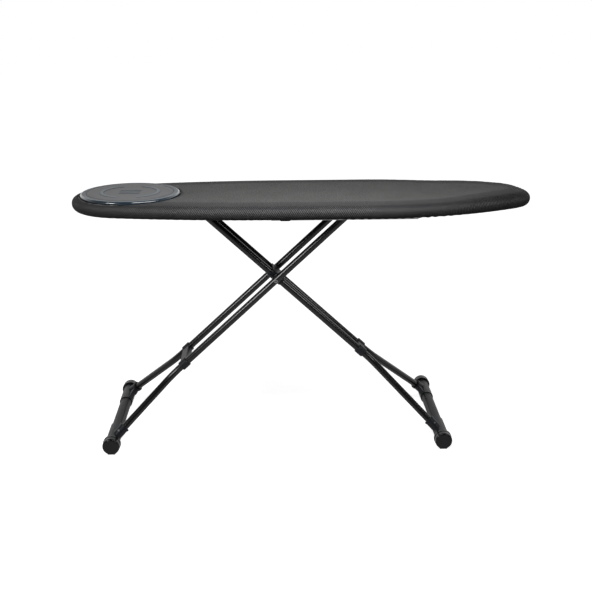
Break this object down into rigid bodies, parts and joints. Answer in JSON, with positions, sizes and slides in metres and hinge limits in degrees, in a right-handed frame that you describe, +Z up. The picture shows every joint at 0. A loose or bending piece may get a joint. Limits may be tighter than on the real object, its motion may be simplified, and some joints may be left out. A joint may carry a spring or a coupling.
{
  "type": "ironing board",
  "caption": "Folding ironing board with a padded cover, round iron rest pad, scissor legs on splayed feet and a squeeze lever for height.",
  "frame": {"origin": "on the floor, under the middle of the board's length and width", "axes": "+X along the board towards the nose, +Y towards the back, +Z up"},
  "size_m": [1.24, 0.421, 0.6797],
  "materials": {
    "cover_cloth": "charcoal twill",
    "cord": "braided cord",
    "felt": "needled felt",
    "silicone": "matte blue-grey silicone",
    "grey_steel": "satin grey powder coat",
    "rail_aluminium": "satin",
    "black_steel": "semi-gloss black powder coat",
    "foot_paint": "satin dark grey",
    "zinc": "bright zinc",
    "black_plastic": "fine matte black",
    "gloss_cap": "gloss black",
    "nylon": "natural nylon",
    "lever_steel": "semi-gloss black"
  },
  "bodies": {
    "board": {"cover": "cover_cloth", "hem_drawcord": "cord", "underlay_felt": "felt", "top_sheet": "grey_steel", "rim_tube": "grey_steel", "tail_member": "grey_steel", "bracket_member": "grey_steel", "lever_member": "grey_steel", "rail_member": "grey_steel", "nose_member": "grey_steel", "iron_rest_pad": "silicone", "member_screws": "zinc", "rail_front": "rail_aluminium", "rail_back": "rail_aluminium", "pivot_bracket_front": "grey_steel", "pivot_bracket_back": "grey_steel", "lever_bracket": "grey_steel", "lock_spring": "zinc"},
    "inner_leg": {"inner_tube_front": "black_steel", "inner_tube_back": "black_steel", "inner_axle": "zinc", "inner_washers": "nylon", "inner_collar": "black_plastic", "pivot_block": "black_plastic", "inner_foot_bar": "foot_paint", "inner_connector_front": "black_plastic", "inner_connector_back": "black_plastic", "inner_cap_front": "gloss_cap", "inner_cap_back": "gloss_cap", "inner_foot_screws": "zinc"},
    "outer_leg": {"outer_tube_front": "black_steel", "outer_tube_back": "black_steel", "outer_axle": "zinc", "axle_spacers": "black_plastic", "outer_collar": "black_plastic", "pivot_bolt": "zinc", "pivot_spacers": "black_plastic", "outer_foot_bar": "foot_paint", "outer_connector_front": "black_plastic", "outer_connector_back": "black_plastic", "outer_cap_front": "gloss_cap", "outer_cap_back": "gloss_cap", "outer_foot_screws": "zinc"},
    "slide": {"lock_rod": "zinc", "rod_clevis": "black_plastic", "glide_front": "nylon", "glide_back": "nylon"},
    "lever": {"lever_rod": "lever_steel", "lever_grip": "black_plastic", "lock_plate": "zinc"}
  },
  "joints": [
    {"name": "leg_fold", "type": "hinge", "parent": "board", "child": "inner_leg", "pos_m": [-0.26789, 0, 0.62269], "axis": [0, -1, 0], "range_deg": [-20.5, 41]},
    {"name": "cross_pivot", "type": "hinge", "parent": "inner_leg", "child": "outer_leg", "pos_m": [-0.0745, 0, 0.44298], "axis": [0, -1, 0], "range_deg": [-82.2, 41.2]},
    {"name": "slide_level", "type": "hinge", "parent": "outer_leg", "child": "slide", "pos_m": [0.11889, 0, 0.62269], "axis": [0, -1, 0], "range_deg": [-20.6, 41.1]},
    {"name": "height_lever", "type": "hinge", "parent": "board", "child": "lever", "pos_m": [-0.1, 0, 0.64869], "axis": [0, -1, 0], "range_deg": [0, 8], "stiffness_Nm_per_rad": 1.5, "springref_deg": -11.46}
  ],
  "couplings": [
    {"joint": "cross_pivot", "follows": "leg_fold", "ratio": -2},
    {"joint": "slide_level", "follows": "leg_fold", "ratio": 1}
  ]
}
